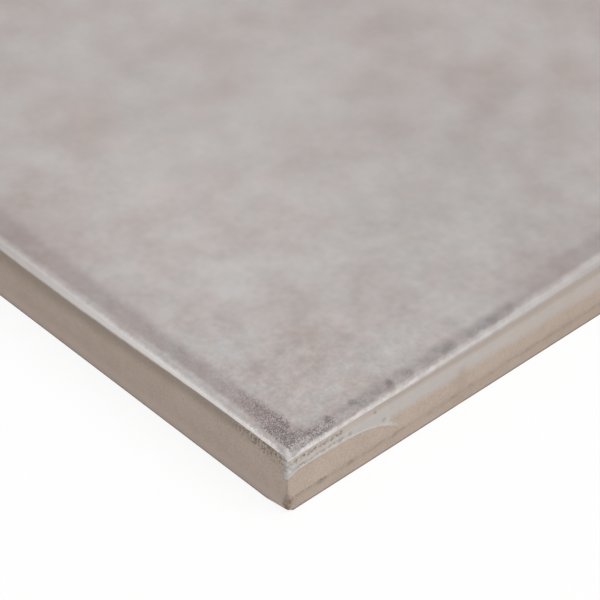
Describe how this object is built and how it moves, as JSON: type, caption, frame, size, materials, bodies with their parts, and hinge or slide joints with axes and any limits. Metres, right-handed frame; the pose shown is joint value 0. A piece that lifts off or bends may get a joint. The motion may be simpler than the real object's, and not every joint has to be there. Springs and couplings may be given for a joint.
{
  "type": "ceramic wall tile",
  "caption": "Square glazed ceramic wall tile: mottled grey-taupe face with a darkened border and worn white arris, bare tan clay edges and a keyed back for adhesive.",
  "frame": {"origin": "middle of the back, on the plane of its ribs and margin, which is the plane the tile rests on", "axes": "+Z out of the glazed face; X and Y along the tile's edges; the corner nearest the picture's camera is at -X, -Y"},
  "size_m": [0.2, 0.2, 0.009],
  "materials": {
    "glazed_tile": "satin, mottled grey-taupe glaze over a tan clay body"
  },
  "bodies": {
    "root": {"tile": "glazed_tile"}
  },
  "joints": []
}
